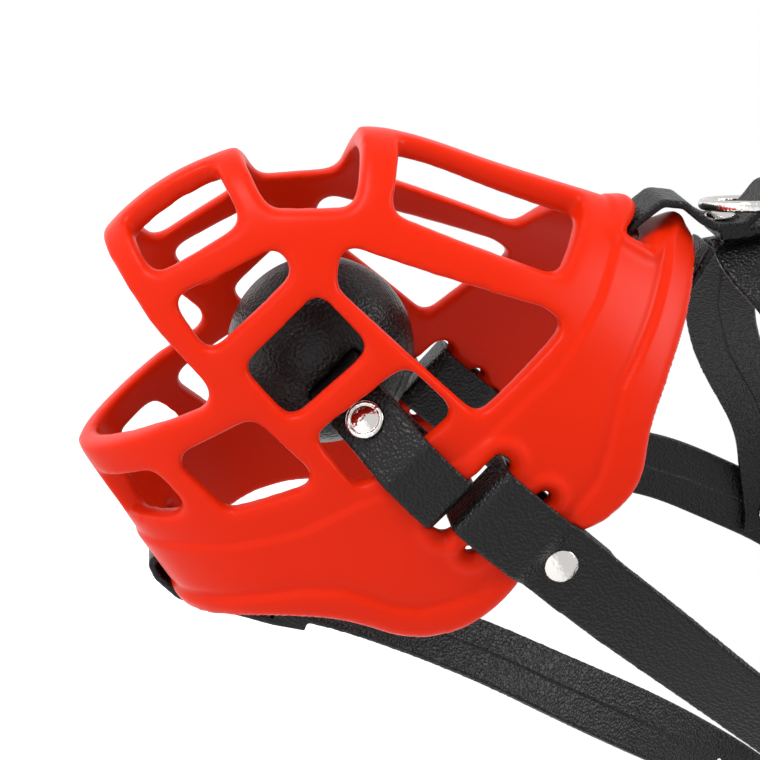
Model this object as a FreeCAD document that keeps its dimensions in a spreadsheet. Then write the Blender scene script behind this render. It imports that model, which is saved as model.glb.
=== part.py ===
"""A basket muzzle: moulded rubber basket, mouth ball on a strap, and a strap harness.

Frame, in millimetres: the origin is the centre of the mouth ball, on the plane of symmetry.
+X points out of the wearer's face, +Y to the wearer's left and +Z up.
"""
import FreeCAD, Part
import math
import os
from FreeCAD import Placement, Rotation, Vector

doc = FreeCAD.newDocument("basket_muzzle")

# ---------------------------------------------------------------- driving dimensions
SIZES = {
    "wall": 4.6,
    "mid_bar_half": 4.0,
    "rear_plane": -60.0,
    "side_reach": 70.0,
    "front_slot_tilt": 15.0,
    "rear_slot_tilt": 3.0,
    "ball_radius": 20.8,
    "cover_thick": 1.5,
    "strap_wide": 17.0,
    "narrow_strap_wide": 13.2,
    "strap_thick": 1.8,
    "strap_gap": 0.4,
    "glue_line": 0.05,
    "ball_strap_rise": 14.0,
    "ball_strap_level": 1.3,
    "rivet_head_radius": 3.8,
    "rivet_head_rise": 1.4,
    "rivet_post_radius": 1.2,
    "ring_radius": 10.5,
    "ring_wire_radius": 1.3,
    "buckle_wire_radius": 1.3,
    "buckle_inner_wide": 20.0,
    "buckle_span": 16.0,
    "roller_radius": 2.1,
    "fit_clearance": 0.08,
}
sheet = doc.addObject("Spreadsheet::Sheet", "Sizes")
for row, (alias, value) in enumerate(SIZES.items(), start=1):
    sheet.set(f"A{row}", alias)
    sheet.set(f"B{row}", str(value))
    sheet.setAlias(f"B{row}", alias)
doc.recompute()


def size(alias):
    return float(getattr(sheet, alias))


WALL = size("wall")
STRAP_WIDE = size("strap_wide")
NARROW_WIDE = size("narrow_strap_wide")
STRAP_THICK = size("strap_thick")
SIDE_REACH = size("side_reach")
ACROSS = Vector(0, 1, 0)
UP = Vector(0, 0, 1)

# Height, reach of the front and half width of the basket's outer surface, from chin to nose bridge.
BASKET_LEVELS = [
    (-57.0, 14.0, 0.0),
    (-56.0, 18.0, 12.0),
    (-52.6, 25.0, 22.0),
    (-45.0, 33.5, 31.0),
    (-35.0, 43.0, 36.5),
    (-20.0, 49.5, 40.0),
    (0.0, 50.0, 42.0),
    (20.0, 44.0, 42.0),
    (38.0, 34.0, 40.0),
    (52.0, 18.0, 36.0),
    (64.0, 4.0, 29.0),
    (74.0, -7.5, 19.5),
    (79.8, -14.0, 11.0),
    (82.0, -17.0, 0.0),
]
# The chin line climbs this much per millimetre towards the rear.
KEEL_CLIMB = 0.06
PLAN_STEPS = 8

# Side views, as (forward, up) corners.
RIM_LINE = [
    (-20, 90), (-22.5, 83.5), (-24.5, 80), (-27, 76), (-30, 70.5), (-33.8, 62.5), (-37, 56.5), (-41.5, 50),
    (-47.5, 44.5), (-50.3, 37), (-49.6, 22), (-50.8, 15), (-53.4, 8), (-54.5, -4), (-50, -14), (-42, -21),
    (-36, -29), (-32, -38), (-30, -48), (-29.5, -62),
]
MOUTH_GAP = [(66, -26), (46, -26), (30, -24.5), (11, -20), (12, -34), (12, -64), (66, -64)]
NOSE_HOLE = [(66, 9.0), (37, 8.2), (28.3, 23.5), (36, 31.5), (66, 52)]
SIDE_WINDOWS = {
    "upper": [(25, 17.5), (-7.5, 46), (-13.5, 48.5), (-18, 23), (18.5, 12)],
    "middle": [(15.2, -13), (20, 8.5), (5, 12), (1, -10)],
    "strap_exit": [(-3.5, -8), (-1, 16), (-15, 20), (-18, -6)],
    "lip": [(33, -18.5), (31, 6), (25, 6.5), (20, -17.5)],
    "jaw": [(5.5, -36), (5.5, -16.5), (-13, -11), (-9.5, -32)],
    "chin": [(5, -62), (4.5, -41), (-7, -38.5), (-4, -62)],
}
WINDOW_CORNER = 3.0
# These two stop at the bar along the plane of symmetry.
BAR_WINDOWS = {
    "nose_bridge": [(24, 29), (37, 44), (30, 80), (12, 80), (-2, 63.5), (-6, 52)],
    "front": [(37.5, -19.5), (37.5, 2.5), (66, 2.5), (66, -19.5)],
}
CHIN_WINDOW_KEEL = 9.0
SIDE_WINDOW_KEEL = 5.0
# Slots for the ball strap and the cheek strap: centre in the side view, length, width.
FRONT_SLOT = ((-30.8, 13.6), 21.8, 5.4)
REAR_SLOT = ((-40, 16.6), 22.0, 3.8)
# Slots across the middle for the dorsal strap and the chin strap: rear edge, depth, width, foot.
DORSAL_SLOT = (-15.6, 5.6, 23.0, 62.0)
CHIN_SLOT = (-22.5, 6.0, 22.0, -80.0)
CROSS_SLOT_TALL = 40.0


# ---------------------------------------------------------------- helpers
def rounded_wire(corners, radius, closed=True):
    """A wire of straight runs joined by tangent arcs; the arcs shrink where a run is short."""
    points = [Vector(c) for c in corners]
    count = len(points)
    bends = range(count) if closed else range(1, count - 1)
    cuts = {}
    for i in bends:
        before, here, after = points[i - 1], points[i], points[(i + 1) % count]
        to_before = before - here
        to_after = after - here
        half_turn = to_before.getAngle(to_after) / 2
        if half_turn > math.radians(89):
            continue
        room = 0.45 * min(to_before.Length, to_after.Length)
        reach = min(radius / math.tan(half_turn), room)
        start = here + to_before.normalize() * reach
        end = here + to_after.normalize() * reach
        inward = (to_before + to_after).normalize()
        arc_radius = reach * math.tan(half_turn)
        middle = here + inward * (arc_radius / math.sin(half_turn) - arc_radius)
        cuts[i] = (start, middle, end)
    edges = []
    for i in range(count if closed else count - 1):
        j = (i + 1) % count
        start = cuts[i][2] if i in cuts else points[i]
        end = cuts[j][0] if j in cuts else points[j]
        if (end - start).Length > 1e-4:
            edges.append(Part.LineSegment(start, end).toShape())
        if j in cuts:
            edges.append(Part.Arc(*cuts[j]).toShape())
    return Part.Wire(edges)


def side_prism(corners, radius, y_from, y_to):
    """A rounded outline of the side view, drawn out from y_from to y_to."""
    wire = rounded_wire([(x, y_from, z) for x, z in corners], radius)
    return Part.Face(wire).extrude(Vector(0, y_to - y_from, 0))


def mirrored(shape):
    return shape.mirror(Vector(0, 0, 0), ACROSS)


def strap_sweep(points, width_dir, bend_radius, wide=STRAP_WIDE, room=0.0):
    """A strap along a flat path, with room to spare all round; width_dir is at right angles to the path."""
    path = rounded_wire(points, bend_radius, closed=False)
    start = path.Edges[0].Vertexes[0].Point
    forward = path.Edges[0].tangentAt(path.Edges[0].FirstParameter)
    across = Vector(width_dir).normalize()
    normal = forward.cross(across).normalize()
    half_wide = across * (wide / 2 + room)
    half_thick = normal * (STRAP_THICK / 2 + room)
    ring = [half_wide + half_thick, half_thick - half_wide, -half_wide - half_thick, half_wide - half_thick]
    section = Part.makePolygon([start + p for p in ring] + [start + ring[0]])
    return path.makePipeShell([section], True, False)


def strap_loft(stations):
    """A strap of the standard section through (point, width direction) stations, free to twist."""
    half = STRAP_WIDE / 2
    sections = []
    points = [Vector(p) for p, _ in stations]
    for i, (_, across) in enumerate(stations):
        here = points[i]
        run = points[min(i + 1, len(points) - 1)] - points[max(i - 1, 0)]
        normal = run.cross(Vector(across)).normalize()
        flat = normal.cross(run).normalize()
        a = flat * half
        b = normal * (STRAP_THICK / 2)
        ring = [here + a + b, here - a + b, here - a - b, here + a - b]
        sections.append(Part.makePolygon(ring + [ring[0]]))
    return Part.makeLoft(sections, True, False)


def add_shape(label, shape):
    """A sub-part whose form is worked out from the sheet's sizes."""
    feature = doc.addObject("Part::Feature", label)
    feature.Label = label
    feature.Shape = shape
    return feature


def bound(type_name, label, bindings):
    """A Part primitive whose sizes are bound to the sheet."""
    item = doc.addObject(type_name, label)
    item.Label = label
    for name, expression in bindings.items():
        item.setExpression(name, expression)
    return item


def cut_from(label, base, tool):
    """The base with the tool taken away, as a Part boolean that keeps both inputs."""
    item = doc.addObject("Part::Cut", label)
    item.Base = base
    item.Tool = tool
    item.Label = label
    return item


# ---------------------------------------------------------------- basket
def basket_half(inset, rear):
    """The half of the basket's bulk at +Y, inset from the outer surface, open plane at rear."""
    middle_level = 12.0
    widest = 42.0
    reach_up = BASKET_LEVELS[-1][0] - middle_level
    reach_down = middle_level - BASKET_LEVELS[0][0]
    grid = []
    for level, front, half_width in BASKET_LEVELS:
        reach = reach_up if level > middle_level else reach_down
        z = middle_level + (level - middle_level) * (1 - inset / reach)
        wide = half_width * (1 - inset / widest)
        line = []
        for step in range(PLAN_STEPS + 1):
            turn = math.radians(90.0 * step / PLAN_STEPS)
            x = rear + (front - inset - rear) * math.sin(turn)
            climb = KEEL_CLIMB * (front - x) * max(0.0, (middle_level - level) / reach_down - 0.4)
            line.append(Vector(x, wide * math.cos(turn), z + climb))
        grid.append(line)
    surface = Part.BSplineSurface()
    surface.interpolate(grid)
    skin = surface.toShape()
    bottom, top = grid[0], grid[-1]
    spine = Part.LineSegment(Vector(rear, 0, bottom[0].z), Vector(rear, 0, top[0].z)).toShape()
    flat_edges = []
    rear_edges = []
    for edge in skin.Edges:
        middle = edge.valueAt((edge.FirstParameter + edge.LastParameter) / 2)
        (rear_edges if abs(middle.x - rear) < 0.01 else flat_edges).append(edge)
    symmetry_face = Part.Face(Part.Wire(Part.__sortEdges__(flat_edges + [spine])))
    rear_face = Part.Face(Part.Wire(Part.__sortEdges__(rear_edges + [spine])))
    shell = Part.makeShell([skin, symmetry_face, rear_face])
    shell.sewShape()
    solid = Part.makeSolid(shell)
    if solid.Volume < 0:
        solid.reverse()
    return solid


def behind_rim():
    """Everything behind the wavy rim, to be cut away."""
    curve = Part.BSplineCurve()
    curve.interpolate([Vector(x, -SIDE_REACH, z) for x, z in RIM_LINE])
    low = Vector(-90, -SIDE_REACH, RIM_LINE[-1][1])
    high = Vector(-90, -SIDE_REACH, RIM_LINE[0][1])
    start = Vector(RIM_LINE[0][0], -SIDE_REACH, RIM_LINE[0][1])
    end = Vector(RIM_LINE[-1][0], -SIDE_REACH, RIM_LINE[-1][1])
    edges = [curve.toShape()]
    for a, b in ((end, low), (low, high), (high, start)):
        edges.append(Part.LineSegment(a, b).toShape())
    return Part.Face(Part.Wire(edges)).extrude(Vector(0, 2 * SIDE_REACH, 0))


def slot_prism(centre, length, wide, tilt):
    """A round-ended strap slot through both cheeks, seen in the side view."""
    along = Vector(math.sin(math.radians(tilt)), 0, math.cos(math.radians(tilt)))
    sideways = Vector(along.z, 0, -along.x)
    corners = []
    for a, b in ((-1, -1), (-1, 1), (1, 1), (1, -1)):
        p = along * (a * length / 2) + sideways * (b * wide / 2)
        corners.append((centre[0] + p.x, centre[1] + p.z))
    return side_prism(corners, wide * 0.45, -SIDE_REACH, SIDE_REACH)


# Where a strap bears on the moulding the wall gives way, so the strap has this much room.
STRAP_ROOM = 0.35
side_channels = []
middle_channels = []


def looped_strap(channels, points, width_dir, bend_radius, wide=STRAP_WIDE):
    """A strap looped through the basket; two channels that share its turn are taken out of the basket."""
    turn = len(points) // 2
    for run in (points[:turn + 1], points[turn - 1:]):
        channels.append(strap_sweep(run, width_dir, bend_radius, wide, STRAP_ROOM))
    return strap_sweep(points, width_dir, bend_radius, wide)


def basket():
    """Each half is cut on its own, then joined to its mirror image."""
    rear = size("rear_plane")
    half = basket_half(0.0, rear).cut(basket_half(WALL, rear - 3))
    cutters = [behind_rim()]
    for corners in (MOUTH_GAP, NOSE_HOLE):
        cutters.append(side_prism(corners, WINDOW_CORNER * 1.3, -SIDE_REACH, SIDE_REACH))
    for name, corners in SIDE_WINDOWS.items():
        inner = CHIN_WINDOW_KEEL if name == "chin" else SIDE_WINDOW_KEEL
        cutters.append(side_prism(corners, WINDOW_CORNER, inner, SIDE_REACH))
    for corners in BAR_WINDOWS.values():
        cutters.append(side_prism(corners, WINDOW_CORNER, size("mid_bar_half"), SIDE_REACH))
    cutters.append(slot_prism(*FRONT_SLOT, size("front_slot_tilt")))
    cutters.append(slot_prism(*REAR_SLOT, size("rear_slot_tilt")))
    for slot_rear, deep, wide, foot in (DORSAL_SLOT, CHIN_SLOT):
        cutters.append(Part.makeBox(deep, wide, CROSS_SLOT_TALL, Vector(slot_rear, -wide / 2, foot)))
    for cutter in cutters:
        half = half.cut(cutter)
    for channel in side_channels:
        half = half.cut(channel)
    moulding = half.fuse(mirrored(half)).removeSplitter()
    for channel in middle_channels:
        moulding = moulding.cut(channel)
    # A channel can leave a loose crumb of the bead behind it: only the moulding itself is kept.
    return max(moulding.Solids, key=lambda solid: solid.Volume)


# ---------------------------------------------------------------- mouth ball
BALL_STRAP_RISE = size("ball_strap_rise")
BALL_STRAP_LEVEL = size("ball_strap_level")


def ball_slot(name):
    """The way through the ball for its strap, along Y, with room to slide."""
    slot = bound("Part::Box", name, {
        "Length": "Sizes.strap_thick + 2 * Sizes.strap_gap",
        "Width": "3 * Sizes.ball_radius",
        "Height": "Sizes.narrow_strap_wide + 2 * Sizes.strap_gap",
        "Placement.Base.x": "-(Sizes.strap_thick / 2 + Sizes.strap_gap) * cos(Sizes.ball_strap_rise)"
                            " - (Sizes.narrow_strap_wide / 2 + Sizes.strap_gap) * sin(Sizes.ball_strap_rise)",
        "Placement.Base.y": "-1.5 * Sizes.ball_radius",
        "Placement.Base.z": "(Sizes.strap_thick / 2 + Sizes.strap_gap) * sin(Sizes.ball_strap_rise)"
                            " - (Sizes.narrow_strap_wide / 2 + Sizes.strap_gap) * cos(Sizes.ball_strap_rise)"
                            " + Sizes.ball_strap_level",
    })
    slot.Placement.Rotation = Rotation(ACROSS, BALL_STRAP_RISE)
    return slot


core = bound("Part::Sphere", "core_sphere", {
    "Radius": "Sizes.ball_radius - Sizes.cover_thick - Sizes.glue_line",
})
cut_from("ball_core", core, ball_slot("core_slot"))
skin = bound("Part::Sphere", "skin_sphere", {"Radius": "Sizes.ball_radius"})
hollow = bound("Part::Sphere", "hollow_sphere", {"Radius": "Sizes.ball_radius - Sizes.cover_thick"})
cut_from("ball_cover", cut_from("cover_shell", skin, hollow), ball_slot("cover_slot"))
doc.recompute()


# ---------------------------------------------------------------- ball strap
STRAP_BEND = 2.2
TIGHT_BEND = 1.9


def tilted(points, rise, level):
    """Points of a plan view laid on a plane that rises rearwards by rise degrees from level at x = 0."""
    slope = math.tan(math.radians(rise))
    return [Vector(x, y, level - x * slope) for x, y in points]


def strap_across(rise):
    return Vector(math.sin(math.radians(rise)), 0, math.cos(math.radians(rise)))


# Plan view of the strap from the middle of the ball, out of the exit window, over the bar behind it,
# in through the long slot and back to the rivet.
BALL_STRAP_RUN = [(0, 0), (0, 25), (-5, 29.5), (-11, 34.5), (-17.3, 41.0), (-24, 42.6), (-29.6, 42.8)]
BALL_STRAP_RETURN = [(-29.6, 33.6), (-25, 33.0), (-18, 32.2), (-12.6, 32.4), (-5.9, 26.9)]
ball_run = tilted(BALL_STRAP_RUN + BALL_STRAP_RETURN, BALL_STRAP_RISE, BALL_STRAP_LEVEL)
ball_strap_across = strap_across(BALL_STRAP_RISE)
ball_strap_half = looped_strap(side_channels, ball_run, ball_strap_across, STRAP_BEND, NARROW_WIDE)
straps = {"ball_strap": ball_strap_half.fuse(mirrored(ball_strap_half)).removeSplitter()}

# ---------------------------------------------------------------- cheek straps
CHEEK_RISE = 17.0
CHEEK_LEVEL = 5.0
# Plan view: from behind the rim out over the cheek, in through the long slot and back inside.
CHEEK_LOOP = [
    (-62, 40.9), (-51, 41.4), (-47.6, 43.9), (-40, 44.6), (-31.7, 44.2),
    (-31.7, 33.4), (-40, 34.0), (-47, 35.2), (-51, 39.3), (-62, 39.0),
]
cheek_run = tilted(CHEEK_LOOP, CHEEK_RISE, CHEEK_LEVEL)
cheek_loop = looped_strap(side_channels, cheek_run, strap_across(CHEEK_RISE), TIGHT_BEND)
LEFT_TAIL = [
    ((-58, 40.0, 22.7), (0.29, 0, 0.96)),
    ((-73, 40.8, 27.6), (0.31, 0.12, 0.95)),
    ((-90, 43, 34), (0.34, 0.3, 0.88)),
    ((-108, 48, 41.5), (0.34, 0.42, 0.83)),
    ((-128, 50, 50), (0.34, 0.36, 0.86)),
    ((-148, 45, 58), (0.32, 0.2, 0.92)),
    ((-166, 34, 64), (0.25, 0.08, 0.96)),
    ((-179, 18, 67), (0.15, 0.02, 0.99)),
    ((-184, 0, 68), (0.08, 0, 1)),
    ((-182, -16, 68), (0.05, 0, 1)),
]
RIGHT_TAIL = [
    ((-58, -40.0, 22.7), (0.29, 0, 0.96)),
    ((-72, -42, 32.5), (0.5, 0, 0.86)),
    ((-88, -47, 49), (0.6, -0.1, 0.8)),
    ((-104, -52, 60), (0.5, -0.2, 0.84)),
    ((-121, -55, 70), (0.4, -0.2, 0.9)),
    ((-134, -55.6, 76.6), (0.2, -0.1, 0.97)),
    ((-144.7, -53.84, 79), (0, 0, 1)),
]
# Centre and direction of each hole.
TONGUE_HOLES = [
    ((-184.2, 3, 68), (1, 0, 0)),
    ((-183.3, -7, 68), (1, -0.1, 0)),
    ((-181.5, 11, 67.6), (0.93, -0.36, 0)),
]


HOLE_RADIUS = 1.6
PUNCH_LONG = 12.0


def punched(strap, holes, radius=HOLE_RADIUS):
    for centre, axis in holes:
        direction = Vector(*axis).normalize()
        start = Vector(*centre) - direction * PUNCH_LONG / 2
        strap = strap.cut(Part.makeCylinder(radius, PUNCH_LONG, start, direction))
    return strap


def pointed_end(strap, tip, along, across):
    """Trims a strap's end to a blunt point; along points out of the strap."""
    along = Vector(*along).normalize()
    across = Vector(*across).normalize()
    tip = Vector(*tip)
    normal = along.cross(across)
    for side in (1, -1):
        edge = tip + across * (side * STRAP_WIDE * 0.55)
        corners = [tip + across * (side * 2.0) + along, edge + along * 2, edge - along * 9]
        wedge = Part.Face(Part.makePolygon([c - normal * 10 for c in corners + [corners[0]]]))
        strap = strap.cut(wedge.extrude(normal * 20))
    return strap


left_strap = punched(strap_loft(LEFT_TAIL), TONGUE_HOLES)
left_strap = pointed_end(left_strap, (-182, -16, 68), (0.12, -1, 0), (0.05, 0, 1))
straps["left_cheek_strap"] = cheek_loop.fuse(left_strap)


# ---------------------------------------------------------------- nape buckle
BAR_POINT = Vector(-164.0, -48.6, 79.0)
BUCKLE_ALONG = Vector(-0.965, 0.262, 0.0).normalize()
BUCKLE_ACROSS = Vector(0.0, 0.0, -1.0)
BUCKLE_OUT = BUCKLE_ALONG.cross(BUCKLE_ACROSS)
BUCKLE_FRAME = Placement(
    FreeCAD.Matrix(
        BUCKLE_ALONG.x, BUCKLE_ACROSS.x, BUCKLE_OUT.x, BAR_POINT.x,
        BUCKLE_ALONG.y, BUCKLE_ACROSS.y, BUCKLE_OUT.y, BAR_POINT.y,
        BUCKLE_ALONG.z, BUCKLE_ACROSS.z, BUCKLE_OUT.z, BAR_POINT.z,
        0, 0, 0, 1,
    )
)


def buckle_to_world(points):
    return [BUCKLE_FRAME.multVec(Vector(*p)) for p in points]


def round_tube(path, radius):
    """A round bar along a wire."""
    edge = path.Edges[0]
    start = edge.valueAt(edge.FirstParameter)
    circle = Part.makeCircle(radius, start, edge.tangentAt(edge.FirstParameter))
    return path.makePipeShell([Part.Wire(circle)], True, False)


FOLD_ROOM = 0.32
fold_reach = size("buckle_wire_radius") + FOLD_ROOM + STRAP_THICK / 2
fold_points = [
    (-22, 0, 1.0), (-7, 0, 1.2), (-1.5, 0, fold_reach), (fold_reach, 0, fold_reach),
    (fold_reach, 0, -fold_reach), (-1.5, 0, -fold_reach), (-7, 0, -1.2), (-22, 0, -1.0),
]
fold = strap_sweep(buckle_to_world(fold_points), BUCKLE_ACROSS, fold_reach)
prong_gap = Part.makeBox(14, 5.4, 12, Vector(-6.5, -2.7, -6))
prong_gap.Placement = BUCKLE_FRAME
straps["right_cheek_strap"] = mirrored(cheek_loop).fuse(strap_loft(RIGHT_TAIL)).fuse(fold.cut(prong_gap))

half_inner = size("buckle_inner_wide") / 2 + size("buckle_wire_radius")
span = size("buckle_span")
frame_path = rounded_wire(
    buckle_to_world([(span / 2, half_inner, 0), (0, half_inner, 0), (0, -half_inner, 0),
                     (span, -half_inner, 0), (span, half_inner, 0), (span / 2 + 0.01, half_inner, 0)]),
    2.2, closed=False,
)
closing = Part.LineSegment(frame_path.Vertexes[-1].Point, frame_path.Vertexes[0].Point).toShape()
frame_wire = Part.Wire(frame_path.Edges + [closing])
add_shape("buckle_frame", round_tube(frame_wire, size("buckle_wire_radius")))


def buckle_roller():
    outer_radius = size("roller_radius")
    bore = size("buckle_wire_radius") + size("fit_clearance")
    long = size("buckle_inner_wide") - 5.0
    tube = Part.makeCylinder(outer_radius, long, Vector(span, -long / 2, 0), ACROSS)
    tube = tube.cut(Part.makeCylinder(bore, long + 2, Vector(span, -long / 2 - 1, 0), ACROSS))
    tube.Placement = BUCKLE_FRAME
    return tube


def buckle_prong():
    """A flattened wire eye on the bar, and a bar that rests on the roller."""
    bore = size("buckle_wire_radius") + size("fit_clearance")
    eye_radius = bore + 1.0
    eye = Part.makeCylinder(eye_radius, 3.0, Vector(0, -1.5, 0), ACROSS)
    rest = size("roller_radius") + 1.1
    path = rounded_wire([(0, 0, eye_radius - 0.2), (4, 0, eye_radius + 0.3),
                         (span - 4, 0, rest), (span + 1.5, 0, rest)],
                        8.0, closed=False)
    finger = round_tube(path, 1.0)
    prong = eye.fuse(finger).cut(Part.makeCylinder(bore, 8, Vector(0, -4, 0), ACROSS))
    prong.Placement = BUCKLE_FRAME
    return prong


add_shape("buckle_roller", buckle_roller())
add_shape("buckle_prong", buckle_prong())


KEEPER_WALL = 1.4
KEEPER_DEEP = 5.0
KEEPER_ROOM_WIDE = 1.2
KEEPER_ROOM_TALL = 1.0
doubled_strap = 2 * STRAP_THICK + 0.4


def strap_keeper(centre_x, deep, stack):
    """A leather loop round the doubled strap, seen along the strap as a rounded rectangle."""
    inside_wide = STRAP_WIDE + KEEPER_ROOM_WIDE
    inside_tall = stack + KEEPER_ROOM_TALL
    wall = KEEPER_WALL
    outer = Part.makeBox(deep, inside_wide + 2 * wall, inside_tall + 2 * wall,
                         Vector(centre_x - deep / 2, -inside_wide / 2 - wall, -inside_tall / 2 - wall))
    long_edges = [edge for edge in outer.Edges if abs(edge.tangentAt(edge.FirstParameter).x) > 0.99]
    outer = outer.makeFillet(0.85 * wall, long_edges)
    inner = Part.makeBox(deep + 2, inside_wide, inside_tall,
                         Vector(centre_x - deep / 2 - 1, -inside_wide / 2, -inside_tall / 2))
    keeper = outer.cut(inner)
    keeper.Placement = BUCKLE_FRAME
    return keeper


add_shape("sliding_keeper", strap_keeper(-18.0, KEEPER_DEEP, doubled_strap))
add_shape("fixed_keeper", strap_keeper(-10.8, KEEPER_DEEP, doubled_strap))

# ---------------------------------------------------------------- dorsal strap and its ring
RING_CENTRE = Vector(-23.7, 0, 99.0)
RING_TWIST = 10.0
RING_LEAN = 59.0
# Along the ring's lean from its centre: its straight bar, and the middle of its half circle.
RING_BAR = 5.0
RING_BOW = -0.5
RING_CORNER = 2.0
# From the ring's bar to the middle of the strap folded round it.
RING_FOLD = 3.75
ring_up = Vector(-math.cos(math.radians(RING_LEAN)), 0, math.sin(math.radians(RING_LEAN)))
ring_out = ACROSS.cross(ring_up)


def on_ring(along, out, side=0.0):
    """A point beside the ring: along its lean, out from its plane, and across."""
    return RING_CENTRE + ring_up * along + ring_out * out + ACROSS * side


dorsal_path = [
    on_ring(-9, -5.9), on_ring(-4, -5.7), on_ring(2, -RING_FOLD - 0.3),
    on_ring(RING_BAR + RING_FOLD, -RING_FOLD), on_ring(RING_BAR + RING_FOLD, RING_FOLD),
    on_ring(2.6, RING_FOLD), on_ring(-0.6, -0.6), on_ring(-4, -3.6),
    on_ring(-10, -3.8), Vector(-18.6, 0, 86.5), Vector(-13.4, 0, 84.7), Vector(-10.2, 0, 80.6),
    Vector(-11.2, 0, 73.0), Vector(-13.4, 0, 67.4), Vector(-20, 0, 68.4), Vector(-29.2, 0, 71.4),
    Vector(-31.6, 0, 75.5), Vector(-27.6, 0, 82.4), Vector(-25.4, 0, 85.5),
]
straps["dorsal_strap"] = looped_strap(middle_channels, dorsal_path, ACROSS, STRAP_BEND, NARROW_WIDE)

ring_radius = size("ring_radius")


def ring_outline():
    """A straight bar with rounded corners, closed by a half circle, before the twist."""
    corners = [(RING_BAR, 0), (RING_BAR, ring_radius), (RING_BOW, ring_radius)]
    right_corners = [on_ring(along, 0, side) for along, side in corners]
    left_corners = [on_ring(along, 0, -side) for along, side in reversed(corners)]
    right = rounded_wire(right_corners, RING_CORNER, closed=False).Edges
    left = rounded_wire(left_corners, RING_CORNER, closed=False).Edges
    low_point = on_ring(RING_BOW - ring_radius, 0)
    bow = Part.Arc(right_corners[-1], low_point, left_corners[0]).toShape()
    return Part.Wire(right + [bow] + left)


nose_ring = round_tube(ring_outline(), size("ring_wire_radius"))
nose_ring.rotate(RING_CENTRE, ring_up, -RING_TWIST)
add_shape("nose_ring", nose_ring)

# ---------------------------------------------------------------- forehead strap
FOREHEAD_MIDDLE = ((-29.7, 0, 94.3), (-0.3, 0, 0.95))
FOREHEAD_RIGHT = [
    ((-31.6, -8, 92.7), (-0.3, 0.1, 0.94)),
    ((-38.5, -14, 88.4), (-0.25, 0.4, 0.85)),
    ((-49, -20, 84.6), (-0.22, 0.55, 0.78)),
    ((-65, -28.5, 82.3), (-0.1, 0.5, 0.8)),
    ((-84, -38.5, 83.4), (-0.05, 0.35, 0.92)),
    ((-100, -47.5, 83.2), (-0.2, 0.1, 0.97)),
    ((-114.8, -53.2, 79.2), (-0.43, -0.1, 0.89)),
    ((-129.4, -52.8, 72.7), (-0.43, -0.12, 0.89)),
]
FOREHEAD_LEFT = [
    ((-31.6, 8, 92.9), (-0.3, -0.1, 0.94)),
    ((-40, 14.5, 93.5), (-0.3, -0.35, 0.85)),
    ((-54, 23, 95.5), (-0.15, -0.5, 0.85)),
    ((-74, 33, 93), (-0.1, -0.35, 0.9)),
    ((-94, 41, 81.5), (-0.25, -0.15, 0.95)),
    ((-110, 46, 68.2), (-0.38, 0, 0.92)),
    ((-123.5, 47.9, 59.7), (-0.41, 0.04, 0.92)),
    ((-137.5, 42.7, 52.7), (-0.41, 0.04, 0.92)),
]
forehead_stations = FOREHEAD_RIGHT[::-1] + [FOREHEAD_MIDDLE] + FOREHEAD_LEFT
straps["forehead_strap"] = strap_loft(forehead_stations)

# ---------------------------------------------------------------- chin strap
CHIN_LOOP = [
    (-51.5, -35.6), (-46, -40.9), (-39.5, -45.9), (-33, -48.6), (-26, -49.0), (-19.4, -49.4), (-19.4, -57.6),
    (-23.5, -58.2), (-30, -56.8), (-36.3, -52.4), (-41.8, -47.4), (-47.2, -43.1), (-53.2, -37.3),
]
chin_run = [Vector(x, 0, z) for x, z in CHIN_LOOP]
chin_loop = looped_strap(middle_channels, chin_run, ACROSS, TIGHT_BEND)
CHIN_TAIL = [
    ((-48.5, 0, -39.4), (0, 1, 0)),
    ((-59, -0.8, -29.0), (-0.1, 0.97, -0.1)),
    ((-73, -2.0, -17.6), (-0.3, 0.9, -0.3)),
    ((-90, -3.8, -7), (-0.42, 0.8, -0.4)),
    ((-110, -6.5, 3.3), (-0.5, 0.7, -0.5)),
    ((-138, -13, 16.5), (-0.45, 0.6, -0.66)),
    ((-162, -20, 25.5), (-0.38, 0.45, -0.8)),
    ((-190, -27, 33), (-0.35, 0.3, -0.88)),
]
CHIN_HOLES = [
    ((-164.5, -20.8, 26.4), (0.1, 0.85, 0.45)),
    ((-172.5, -23, 28.7), (0.1, 0.87, 0.42)),
    ((-180.5, -24.9, 30.7), (0.1, 0.9, 0.38)),
]
chin_tail = punched(strap_loft(CHIN_TAIL), CHIN_HOLES)
chin_tail = pointed_end(chin_tail, (-190, -27, 33), (-0.93, -0.24, 0.26), (-0.35, 0.3, -0.88))
straps["chin_strap"] = chin_loop.fuse(chin_tail)

# ---------------------------------------------------------------- rivets
# Centre of the stack of straps, outward axis, thickness of the stack.
ball_slope = math.tan(math.radians(BALL_STRAP_RISE))
cheek_slope = math.tan(math.radians(CHEEK_RISE))
BALL_STRAP_RIVET = ((-8.6, 30.9, BALL_STRAP_LEVEL + 9.0 * ball_slope - 0.8), (0.64, 0.768, 0), 4.0)
CHEEK_RIVET = ((-54.4, 40.2, CHEEK_LEVEL + 54.0 * cheek_slope), (0, 1, 0), 4.0)
SINGLE_RIVETS = [
    (tuple(on_ring(-7.0, -5.6)), (0.93, 0, 0.37), 6.6),
    ((-46.2, 0, -41.8), (-0.7, 0, -0.72), 4.0),
    ((-125.5, -54.2, 74.0), (-0.03, -0.989, -0.147), 4.2),
    ((-133.3, 47.0, 54.3), (-0.31, 0.94, -0.18), 5.2),
]


# The caps stand this far off the leather, and the pressed rings' wire radius.
RIVET_STAND = 0.05
RIM_WIRE = 0.55


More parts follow.
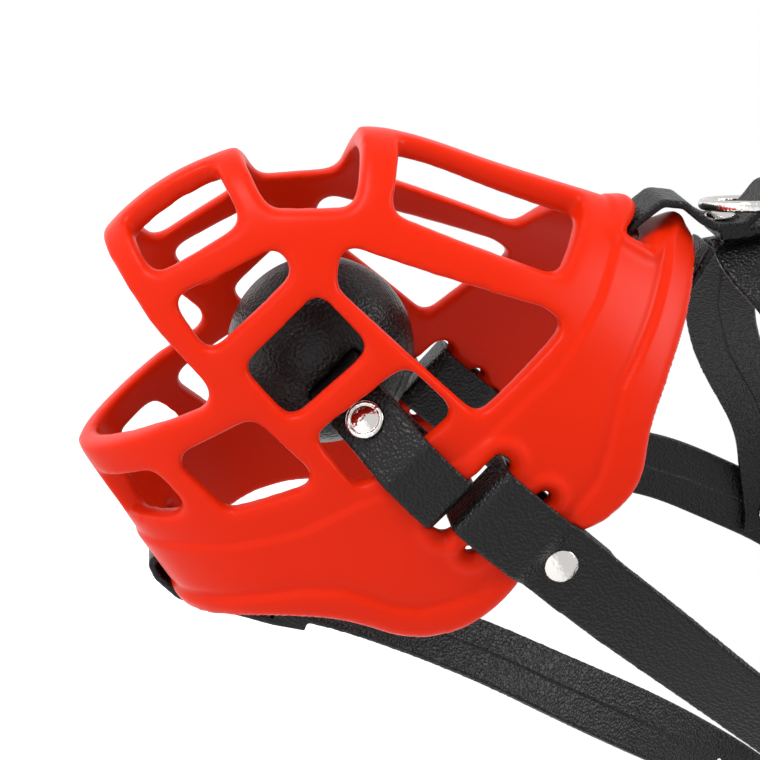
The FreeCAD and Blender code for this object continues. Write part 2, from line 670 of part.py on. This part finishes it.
def rivet(centre, axis, stack):
    """Domed cap on the outer side, a flatter cap inside, and the post between them."""
    axis = Vector(*axis).normalize()
    centre = Vector(*centre)
    head = size("rivet_head_radius")
    rise = size("rivet_head_rise")
    ball = (head * head + rise * rise) / (2 * rise)
    caps = []
    for side in (1, -1):
        face = centre + axis * (side * (stack / 2 + RIVET_STAND))
        dome = Part.makeSphere(ball, face + axis * (side * (rise - ball)))
        caps.append(dome.common(Part.makeCylinder(head + 1, rise + 1, face, axis * side)))
    half_post = stack / 2 + RIVET_STAND
    post = Part.makeCylinder(size("rivet_post_radius"), 2 * half_post, centre - axis * half_post, axis)
    return caps, post


def rim_round(centre, axis, stack):
    """A pressed ring round the cap on the outer side."""
    axis = Vector(*axis).normalize()
    face = Vector(*centre) + axis * (stack / 2 + RIVET_STAND)
    ring = size("rivet_head_radius") - RIM_WIRE / 2
    return Part.makeTorus(ring, RIM_WIRE, face + axis * RIM_WIRE, axis)


def mirrored_place(place):
    (x, y, z), (ax, ay, az), stack = place
    return ((x, -y, z), (ax, -ay, az), stack)


ball_places = [BALL_STRAP_RIVET, mirrored_place(BALL_STRAP_RIVET)]
strap_places = SINGLE_RIVETS + [CHEEK_RIVET, mirrored_place(CHEEK_RIVET)]
rivet_places = ball_places + strap_places
rivet_groups = {"ball_rivet": ball_places, "strap_rivet": strap_places}


def with_rivet_room(strap):
    """The strap with its rivet holes, pressed flat where the rivet heads bear on it."""
    head = size("rivet_head_radius") + 0.3
    hole = size("rivet_post_radius") + 0.05
    for centre, axis, stack in rivet_places:
        centre = Vector(*centre)
        axis = Vector(*axis).normalize()
        reach = stack / 2 + RIVET_STAND
        strap = strap.cut(Part.makeCylinder(hole, 2 * reach, centre - axis * reach, axis))
        for side in (1, -1):
            strap = strap.cut(Part.makeCylinder(head, 3.0, centre + axis * (side * stack / 2), axis * side))
    return strap


for label, strap in straps.items():
    add_shape(label, with_rivet_room(strap))
add_shape("basket", basket())
for group, places in rivet_groups.items():
    caps = []
    posts = []
    for place in places:
        new_caps, new_post = rivet(*place)
        if group == "ball_rivet":
            new_caps[0] = new_caps[0].fuse(rim_round(*place))
        caps += new_caps
        posts.append(new_post)
    add_shape(group + "_caps", Part.makeCompound(caps))
    add_shape(group + "_posts", Part.makeCompound(posts))


# ---------------------------------------------------------------- write the parts
def write_parts():
    doc.recompute()
    os.makedirs("parts", exist_ok=True)
    for item in doc.Objects:
        if "Invalid" in item.State or "Error" in item.State:
            raise RuntimeError(f"{item.Label} failed: {item.State}")
        if not item.isDerivedFrom("Part::Feature") or item.InList:
            continue
        shape = item.Shape
        if shape.isNull() or not shape.isValid():
            raise RuntimeError(f"{item.Label} has no valid shape")
        shape.exportStep(os.path.join("parts", item.Label + ".step"))
        print(f"{item.Label}: {len(shape.Solids)} solid(s), {shape.Volume:.0f} mm3")


write_parts()
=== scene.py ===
import math

import bpy
import numpy as np
from mathutils import Matrix, Vector


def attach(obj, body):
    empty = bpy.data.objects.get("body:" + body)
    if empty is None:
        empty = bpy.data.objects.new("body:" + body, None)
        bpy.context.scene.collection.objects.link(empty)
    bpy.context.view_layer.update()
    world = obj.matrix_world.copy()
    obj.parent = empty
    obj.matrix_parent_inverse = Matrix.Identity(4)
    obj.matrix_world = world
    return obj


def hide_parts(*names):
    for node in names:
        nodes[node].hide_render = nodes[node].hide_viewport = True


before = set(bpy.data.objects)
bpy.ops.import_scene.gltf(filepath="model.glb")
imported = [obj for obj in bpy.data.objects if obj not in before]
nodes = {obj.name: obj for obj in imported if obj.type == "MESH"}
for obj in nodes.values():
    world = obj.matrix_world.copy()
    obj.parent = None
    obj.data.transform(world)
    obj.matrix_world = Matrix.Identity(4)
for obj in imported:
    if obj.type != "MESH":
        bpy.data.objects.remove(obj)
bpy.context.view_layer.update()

MM = 0.001

# ------------------------------------------------------------------ the form, in millimetres
# Side view (x, z) of the lines on the moulding, top to bottom.
STEP_LINE = [
    (-3, 74), (-5, 71), (-9, 67), (-14, 57), (-17, 48), (-19, 42), (-20, 34), (-22, 23), (-23, 16),
    (-22, 4), (-20, -8), (-19.5, -21), (-16.5, -34), (-13, -45), (-11, -54),
]
RIM_BAND = [
    (-15, 84), (-17, 78), (-21, 72), (-24.5, 65), (-27.5, 58), (-30.5, 51), (-35, 46), (-39, 42), (-43, 37),
    (-46, 28), (-48, 16), (-50, 4), (-49, -3), (-47, -9), (-43.5, -13), (-39, -16.5), (-35, -20), (-31, -27),
    (-28, -37), (-26, -47), (-25, -60),
]

# Slots in the side view: middle, length between the round ends' centres, tilt in degrees, half width.
SIDE_SLOTS = [((-30.8, 13.6), 17.0, 15.0, 2.7), ((-40, 16.6), 18.4, 3.0, 1.9)]
# The dorsal slot from above: middle, half depth, half width.
DORSAL_SLOT = ((-12.8, 0.0), 2.8, 11.5)
HEAD_MIDDLE = (-85.0, 0.0, 45.0)
# Middle lines of the straps that carry a seam: (point, direction across).
SEAMED = {
    "left_cheek_strap": [
        ((-58, 40.0, 22.7), (0.29, 0, 0.96)), ((-73, 40.8, 27.6), (0.31, 0.12, 0.95)),
        ((-90, 43, 34), (0.34, 0.3, 0.88)), ((-108, 48, 41.5), (0.34, 0.42, 0.83)),
        ((-128, 50, 50), (0.34, 0.36, 0.86)), ((-148, 45, 58), (0.32, 0.2, 0.92)),
        ((-166, 34, 64), (0.25, 0.08, 0.96)), ((-179, 18, 67), (0.15, 0.02, 0.99)),
        ((-184, 0, 68), (0.08, 0, 1)), ((-182, -16, 68), (0.05, 0, 1)),
    ],
    "right_cheek_strap": [
        ((-58, -40.0, 22.7), (0.29, 0, 0.96)), ((-72, -42, 32.5), (0.5, 0, 0.86)),
        ((-88, -47, 49), (0.6, -0.1, 0.8)), ((-104, -52, 60), (0.5, -0.2, 0.84)),
        ((-121, -55, 70), (0.4, -0.2, 0.9)), ((-134, -55.6, 76.6), (0.2, -0.1, 0.97)),
        ((-144.7, -53.84, 79), (0, 0, 1)),
    ],
    "forehead_strap": [
        ((-129.4, -52.8, 72.7), (-0.43, -0.12, 0.89)), ((-114.8, -53.2, 79.2), (-0.43, -0.1, 0.89)),
        ((-100, -47.5, 83.2), (-0.2, 0.1, 0.97)), ((-84, -38.5, 83.4), (-0.05, 0.35, 0.92)),
        ((-65, -28.5, 82.3), (-0.1, 0.5, 0.8)), ((-49, -20, 84.6), (-0.22, 0.55, 0.78)),
        ((-38.5, -14, 88.4), (-0.25, 0.4, 0.85)), ((-31.6, -8, 92.7), (-0.3, 0.1, 0.94)),
        ((-29.7, 0, 94.3), (-0.3, 0, 0.95)), ((-31.6, 8, 92.9), (-0.3, -0.1, 0.94)),
        ((-40, 14.5, 93.5), (-0.3, -0.35, 0.85)), ((-54, 23, 95.5), (-0.15, -0.5, 0.85)),
        ((-74, 33, 93), (-0.1, -0.35, 0.9)), ((-94, 41, 81.5), (-0.25, -0.15, 0.95)),
        ((-110, 46, 68.2), (-0.38, 0, 0.92)), ((-123.5, 47.9, 59.7), (-0.41, 0.04, 0.92)),
        ((-137.5, 42.7, 52.7), (-0.41, 0.04, 0.92)),
    ],
    "chin_strap": [
        ((-48.5, 0, -39.4), (0, 1, 0)), ((-59, -0.8, -29.0), (-0.1, 0.97, -0.1)),
        ((-73, -2.0, -17.6), (-0.3, 0.9, -0.3)), ((-90, -3.8, -7), (-0.42, 0.8, -0.4)),
        ((-110, -6.5, 3.3), (-0.5, 0.7, -0.5)), ((-138, -13, 16.5), (-0.45, 0.6, -0.66)),
        ((-162, -20, 25.5), (-0.38, 0.45, -0.8)), ((-190, -27, 33), (-0.35, 0.3, -0.88)),
    ],
}


# ------------------------------------------------------------------ mesh helpers
def arrays(mesh):
    points = np.empty(len(mesh.vertices) * 3)
    mesh.vertices.foreach_get("co", points)
    edges = np.empty(len(mesh.edges) * 2, np.int64)
    mesh.edges.foreach_get("vertices", edges)
    return points.reshape(-1, 3) / MM, edges.reshape(-1, 2)


def normals_of(mesh):
    out = np.empty(len(mesh.vertices) * 3)
    mesh.vertices.foreach_get("normal", out)
    return out.reshape(-1, 3)


def set_points(mesh, points):
    mesh.vertices.foreach_set("co", (points * MM).ravel())
    mesh.update()


def relaxed(points, edges, rounds, forward=0.5, back=-0.52):
    """Smoothing in pairs of steps: a back step below zero keeps the volume, one above zero wears edges down."""
    count = np.bincount(edges.ravel(), minlength=len(points))[:, None]
    for i in range(rounds):
        total = np.empty_like(points)
        for axis in range(3):
            total[:, axis] = (
                np.bincount(edges[:, 0], points[edges[:, 1], axis], len(points))
                + np.bincount(edges[:, 1], points[edges[:, 0], axis], len(points))
            )
        step = forward if i % 2 == 0 else back
        points = points + step * (total / count - points)
    return points


def volume_of(mesh, points):
    """Volume and area of a closed mesh at the given points."""
    mesh.calc_loop_triangles()
    corners = np.empty(len(mesh.loop_triangles) * 3, np.int64)
    mesh.loop_triangles.foreach_get("vertices", corners)
    a, b, c = (points[corners.reshape(-1, 3)[:, i]] for i in range(3))
    faces = np.cross(b - a, c - a)
    return (a * faces).sum() / 6, np.linalg.norm(faces, axis=1).sum() / 2


def rounded(mesh, rounds):
    """Wears the edges down evenly, then swells the surface until the volume is back."""
    points, edges = arrays(mesh)
    before, _ = volume_of(mesh, points)
    points = relaxed(points, edges, rounds, back=0.5)
    set_points(mesh, points)
    after, area = volume_of(mesh, points)
    set_points(mesh, points + normals_of(mesh) * ((before - after) / area))


def remade(name, node, voxel, rounds, worn=0):
    """A piece with the CAD node's form, meshed evenly and with its edges rounded."""
    source = bpy.data.objects.new(name, nodes[node].data.copy())
    bpy.context.scene.collection.objects.link(source)
    remesh = source.modifiers.new("even", "REMESH")
    remesh.mode = "VOXEL"
    remesh.voxel_size = voxel * MM
    bpy.context.view_layer.update()
    depsgraph = bpy.context.evaluated_depsgraph_get()
    mesh = bpy.data.meshes.new_from_object(source.evaluated_get(depsgraph))
    source.modifiers.clear()
    source.data = mesh
    mesh.materials.clear()
    points, edges = arrays(mesh)
    set_points(mesh, relaxed(points, edges, rounds))
    rounded(mesh, worn)
    mesh.polygons.foreach_set("use_smooth", np.ones(len(mesh.polygons), bool))
    mesh.update()
    return source


def side_of_line(points, line):
    """Signed distance in the side view: positive behind the line."""
    line = np.array(line, float)
    best = np.full(len(points), 1e9)
    sign = np.ones(len(points))
    flat = points[:, [0, 2]]
    for a, b in zip(line[:-1], line[1:]):
        run = b - a
        t = np.clip(((flat - a) @ run) / (run @ run), 0, 1)
        gap = flat - (a + t[:, None] * run)
        distance = np.hypot(gap[:, 0], gap[:, 1])
        closer = distance < best
        best[closer] = distance[closer]
        turn = run[0] * gap[:, 1] - run[1] * gap[:, 0]
        sign[closer] = np.where(turn[closer] < 0, 1, -1)
    return best * sign


def from_slot(points, middle, long, tilt):
    """Distance in the side view from the line between a slot's round ends."""
    along = np.array([math.sin(math.radians(tilt)), math.cos(math.radians(tilt))])
    flat = points[:, [0, 2]] - np.array(middle)
    reach = np.clip(flat @ along, -long / 2, long / 2)
    gap = flat - reach[:, None] * along
    return np.hypot(gap[:, 0], gap[:, 1])


def ridge(distance, middle, width):
    return np.exp(-((distance - middle) / width) ** 2)


def mark_seam(obj, stations):
    """Stores each vertex's distance from the strap's middle line; the outer face is marked far away."""
    points, _ = arrays(obj.data)
    normals = normals_of(obj.data)
    best = np.full(len(points), 1e9)
    offset = np.full(len(points), 30.0)
    for (start, across_a), (end, across_b) in zip(stations[:-1], stations[1:]):
        start = np.array(start, float)
        run = np.array(end, float) - start
        held = np.clip((points - start) @ run / (run @ run), 0, 1)[:, None]
        gap = points - (start + held * run)
        across = np.array(across_a) * (1 - held) + np.array(across_b) * held
        across /= np.linalg.norm(across, axis=1)[:, None]
        distance = np.linalg.norm(gap, axis=1)
        closer = distance < best
        best[closer] = distance[closer]
        offset[closer] = np.abs((gap * across).sum(1))[closer]
    inward = np.array(HEAD_MIDDLE) - points
    inward /= np.linalg.norm(inward, axis=1)[:, None]
    facing = ramp((normals * inward).sum(1), -0.1, 0.3)
    attribute = obj.data.attributes.new("from_seam", "FLOAT", "POINT")
    attribute.data.foreach_set("value", offset + 20.0 * (1 - facing))


def ramp(value, low, high):
    t = np.clip((value - low) / (high - low), 0, 1)
    return t * t * (3 - 2 * t)


# ------------------------------------------------------------------ materials
# Square to the plane of the seam round the ball.
BALL_SEAM = (0.56, 0.78, -0.26)
# Half the width of a seam's groove, in millimetres.
SEAM_GROOVE = 0.45


def material(name):
    made = bpy.data.materials.new(name)
    made.use_nodes = True
    tree = made.node_tree
    return made, tree.nodes, tree.links, tree.nodes["Principled BSDF"]


def bump_chain(tree_nodes, links, shader, layers):
    """Bump layers of (texture output, strength, depth in mm), one on top of the other."""
    last = None
    for height, strength, depth in layers:
        bump = tree_nodes.new("ShaderNodeBump")
        bump.inputs["Strength"].default_value = strength
        bump.inputs["Distance"].default_value = depth * MM
        links.new(height, bump.inputs["Height"])
        if last:
            links.new(last, bump.inputs["Normal"])
        last = bump.outputs["Normal"]
    links.new(last, shader.inputs["Normal"])


def noise(tree_nodes, links, scale, detail, coords):
    texture = tree_nodes.new("ShaderNodeTexNoise")
    texture.inputs["Scale"].default_value = scale
    texture.inputs["Detail"].default_value = detail
    links.new(coords, texture.inputs["Vector"])
    return texture.outputs["Fac"]


def rubber_material():
    made, tree, links, shader = material("red_silicone")
    coords = tree.new("ShaderNodeTexCoord").outputs["Object"]
    ramp_node = tree.new("ShaderNodeValToRGB")
    ramp_node.color_ramp.elements[0].color = (0.50, 0.0125, 0.0010, 1)
    ramp_node.color_ramp.elements[1].color = (0.54, 0.0145, 0.0013, 1)
    links.new(noise(tree, links, 18, 2, coords), ramp_node.inputs["Fac"])
    links.new(ramp_node.outputs["Color"], shader.inputs["Base Color"])
    shader.inputs["Roughness"].default_value = 0.32
    shader.inputs["Specular IOR Level"].default_value = 0.07
    shader.inputs["Subsurface Weight"].default_value = 0.15
    shader.inputs["Subsurface Radius"].default_value = (1.0, 0.12, 0.05)
    shader.inputs["Subsurface Scale"].default_value = 0.002
    fine = noise(tree, links, 2600, 2, coords)
    broad = noise(tree, links, 160, 2, coords)
    bump_chain(tree, links, shader, [(broad, 0.25, 0.12), (fine, 0.12, 0.03)])
    return made


def seam_height(tree, links, coords, seam):
    """1 on the leather and 0 in the seam's groove: from the strap's mark, or a plane through the ball."""
    if seam == "strap":
        mark = tree.new("ShaderNodeAttribute")
        mark.attribute_name = "from_seam"
        away = mark.outputs["Fac"]
        groove = SEAM_GROOVE
    else:
        plane = tree.new("ShaderNodeVectorMath")
        plane.operation = "DOT_PRODUCT"
        plane.inputs[1].default_value = BALL_SEAM
        links.new(coords, plane.inputs[0])
        size = tree.new("ShaderNodeMath")
        size.operation = "ABSOLUTE"
        links.new(plane.outputs["Value"], size.inputs[0])
        away = size.outputs["Value"]
        groove = SEAM_GROOVE * MM
    spread = tree.new("ShaderNodeMapRange")
    spread.interpolation_type = "SMOOTHSTEP"
    spread.inputs["From Min"].default_value = 0.0
    spread.inputs["From Max"].default_value = groove
    links.new(away, spread.inputs["Value"])
    return spread.outputs["Result"]


def leather_material(name, gloss=0.34, grain=1.0, sheen=0.22, shade=1.0, seam=None):
    made, tree, links, shader = material(name)
    coords = tree.new("ShaderNodeTexCoord").outputs["Object"]
    pebble = tree.new("ShaderNodeTexVoronoi")
    pebble.feature = "SMOOTH_F1"
    pebble.inputs["Scale"].default_value = 1500
    pebble.inputs["Smoothness"].default_value = 0.6
    links.new(coords, pebble.inputs["Vector"])
    colour = tree.new("ShaderNodeValToRGB")
    colour.color_ramp.elements[0].color = (0.0022 * shade, 0.0020 * shade, 0.0021 * shade, 1)
    colour.color_ramp.elements[1].color = (0.0050 * shade, 0.0045 * shade, 0.0047 * shade, 1)
    links.new(pebble.outputs["Distance"], colour.inputs["Fac"])
    links.new(colour.outputs["Color"], shader.inputs["Base Color"])
    shader.inputs["Roughness"].default_value = gloss
    shader.inputs["Specular IOR Level"].default_value = sheen
    folds = noise(tree, links, 300, 3, coords)
    fine = noise(tree, links, 3800, 3, coords)
    layers = [
        (folds, 0.4 * grain, 0.3),
        (pebble.outputs["Distance"], 0.9 * grain, 0.3),
        (fine, 0.4 * grain, 0.06),
    ]
    if seam:
        layers.append((seam_height(tree, links, coords, seam), 1.0, 0.4))
    bump_chain(tree, links, shader, layers)
    return made


def chrome_material():
    made, tree, links, shader = material("bright_plate")
    coords = tree.new("ShaderNodeTexCoord").outputs["Object"]
    shader.inputs["Metallic"].default_value = 1.0
    shader.inputs["Base Color"].default_value = (0.62, 0.60, 0.58, 1)
    shader.inputs["Roughness"].default_value = 0.12
    bump_chain(tree, links, shader, [(noise(tree, links, 700, 2, coords), 0.7, 0.35)])
    return made


RED = rubber_material()
LEATHER = leather_material("strap_leather", seam="strap")
PLAIN_LEATHER = leather_material("plain_leather")
BALL_LEATHER = leather_material("ball_leather", gloss=0.3, grain=0.7, sheen=0.2, shade=1.6, seam="ball")
CHROME = chrome_material()


def dressed(obj, finish, slot_name, body, *replaced):
    obj.data.materials.append(finish)
    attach(obj, body)
    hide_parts(*replaced)
    return obj


# ------------------------------------------------------------------ moulded basket
# Heights of the relief on the moulding, in millimetres.
STEP_RISE = 0.7
BAND_RISE = 0.9
BAND_GROOVE = 0.35
BEAD_RISE = 0.9
BEAD_WIDTH = 1.3
# From a slot's edge to the middle of the bead round it.
SIDE_BEAD_AWAY = 2.0
DORSAL_BEAD_AWAY = 2.4
# The side slots' beads lie outside this half width, and the dorsal slot's bead above this level.
CHEEK_FROM = 20
DORSAL_ABOVE = 58
# Outward is away from an upright line here, and less so up and down.
CORE_X = -45.0
CORE_SPREAD = 0.75


def moulded_basket():
    obj = remade("moulded_basket", "basket", 0.6, 20, worn=22)
    mesh = obj.data
    points, edges = arrays(mesh)
    normals = normals_of(mesh)
    core = np.column_stack([np.full(len(points), CORE_X), np.zeros(len(points)), points[:, 2] * CORE_SPREAD])
    outward = points - core
    outward /= np.linalg.norm(outward, axis=1)[:, None]
    outer = ramp((normals * outward).sum(1), 0.1, 0.5)
    lift = STEP_RISE * ramp(side_of_line(points, STEP_LINE), -0.8, 0.8)
    band = side_of_line(points, RIM_BAND)
    lift += BAND_RISE * ramp(band, -0.6, 0.9) - BAND_GROOVE * ridge(band, -1.0, 1.2)
    for middle, long, tilt, half_wide in SIDE_SLOTS:
        edge = from_slot(points, middle, long, tilt) - half_wide
        lift += BEAD_RISE * ridge(edge, SIDE_BEAD_AWAY, BEAD_WIDTH) * (np.abs(points[:, 1]) > CHEEK_FROM)
    middle, half_deep, half_wide = DORSAL_SLOT
    from_side = np.maximum(np.abs(points[:, 1]) - half_wide, 0)
    from_end = np.maximum(np.abs(points[:, 0] - middle[0]) - half_deep, 0)
    bead = BEAD_RISE * ridge(np.hypot(from_side, from_end), DORSAL_BEAD_AWAY, BEAD_WIDTH)
    lift += bead * (points[:, 2] > DORSAL_ABOVE) * ramp(points[:, 0], -20, -15)
    set_points(mesh, points + normals * (lift * outer)[:, None])
    points, edges = arrays(mesh)
    set_points(mesh, relaxed(points, edges, 4))
    return dressed(obj, RED, "basket_rubber", "harness", "basket")


moulded_basket()

# ------------------------------------------------------------------ straps
for strap in ("ball_strap", "dorsal_strap"):
    made_strap = remade(strap + "_leather", strap, 0.35, 16, worn=6)
    dressed(made_strap, PLAIN_LEATHER, "black_leather", "harness", strap)
for strap, stations in SEAMED.items():
    made_strap = remade(strap + "_leather", strap, 0.38, 20, worn=6)
    mark_seam(made_strap, stations)
    dressed(made_strap, LEATHER, "black_leather", "harness", strap)
for keeper, body in (("sliding_keeper", "keeper"), ("fixed_keeper", "harness")):
    dressed(remade(keeper + "_leather", keeper, 0.3, 8), PLAIN_LEATHER, "black_leather", body, keeper)

# ------------------------------------------------------------------ ball
ball = remade("covered_ball", "ball_cover", 0.45, 20, worn=4)
dressed(ball, BALL_LEATHER, "black_leather", "mouth_ball", "ball_cover")
core = remade("ball_filling", "ball_core", 0.8, 4)
dressed(core, BALL_LEATHER, "ball_rubber", "mouth_ball", "ball_core")

# ------------------------------------------------------------------ metal
for name, node, voxel, body in (
    ("ball_strap_rivet_heads", "ball_rivet_caps", 0.12, "harness"),
    ("ball_strap_rivet_shanks", "ball_rivet_posts", 0.2, "harness"),
    ("strap_rivet_heads", "strap_rivet_caps", 0.12, "harness"),
    ("strap_rivet_shanks", "strap_rivet_posts", 0.2, "harness"),
    ("ring_wire", "nose_ring", 0.25, "top_ring"),
    ("buckle_wire", "buckle_frame", 0.25, "buckle"),
    ("roller_tube", "buckle_roller", 0.2, "roller"),
    ("prong_wire", "buckle_prong", 0.2, "prong"),
):
    slot_name = "rivet_steel" if node.endswith("posts") else "plated_metal"
    dressed(remade(name, node, voxel, 8), CHROME, slot_name, body, node)


# ------------------------------------------------------------------ stage, light and camera
def stage_and_light():
    floor_mesh = bpy.data.meshes.new("floor")
    reach = 6.0
    level = -0.11
    floor_mesh.from_pydata(
        [(-reach, -reach, level), (reach, -reach, level), (reach, reach, level), (-reach, reach, level)],
        [], [(0, 1, 2, 3)],
    )
    floor = bpy.data.objects.new("floor", floor_mesh)
    bpy.context.scene.collection.objects.link(floor)
    made, tree, links, shader = material("floor_white")
    shader.inputs["Base Color"].default_value = (0.98, 0.98, 0.98, 1)
    shader.inputs["Roughness"].default_value = 1.0
    shader.inputs["Emission Color"].default_value = (1, 1, 1, 1)
    shader.inputs["Emission Strength"].default_value = 0.1
    shader.inputs["Specular IOR Level"].default_value = 0.0
    floor_mesh.materials.append(made)
    world = bpy.data.worlds.new("soft_white")
    world.use_nodes = True
    background = world.node_tree.nodes["Background"]
    background.inputs["Color"].default_value = (1, 1, 1, 1)
    background.inputs["Strength"].default_value = 1.0
    bpy.context.scene.world = world


CAMERA_AT = Vector((0.1198, 0.3570, 0.0341))
LOOK = Vector((-0.349, -0.934, -0.070)).normalized()
IMAGE_UP = Vector((0.788, -0.333, 0.516)).normalized()
IMAGE_RIGHT = LOOK.cross(IMAGE_UP).normalized()
AIM = Vector((0.0, 0.0, 0.0))


def area_light(name, right, up, towards, size, power):
    """A soft box placed by the camera's own directions, in metres from the ball."""
    lamp = bpy.data.lights.new(name, "AREA")
    lamp.shape = "SQUARE"
    lamp.size = size
    lamp.energy = power
    obj = bpy.data.objects.new(name, lamp)
    bpy.context.scene.collection.objects.link(obj)
    obj.location = AIM + IMAGE_RIGHT * right + IMAGE_UP * up - LOOK * towards
    obj.rotation_mode = "QUATERNION"
    obj.rotation_quaternion = (AIM - obj.location).to_track_quat("-Z", "Y")


stage_and_light()
area_light("key", -0.3, 0.8, 0.5, 0.4, 6.5)
area_light("right_fill", 0.8, 0.35, 0.2, 0.4, 4.5)

camera = bpy.data.cameras.new("camera")
camera.sensor_width = 36.0
camera.lens = 80.526
camera.clip_start = 0.01
camera_object = bpy.data.objects.new("camera", camera)
bpy.context.scene.collection.objects.link(camera_object)
camera_object.matrix_world = Matrix.LocRotScale(
    CAMERA_AT, Matrix((IMAGE_RIGHT, IMAGE_UP, -LOOK)).transposed().to_quaternion(), None
)
bpy.context.scene.camera = camera_object
bpy.context.scene.view_settings.view_transform = "Standard"
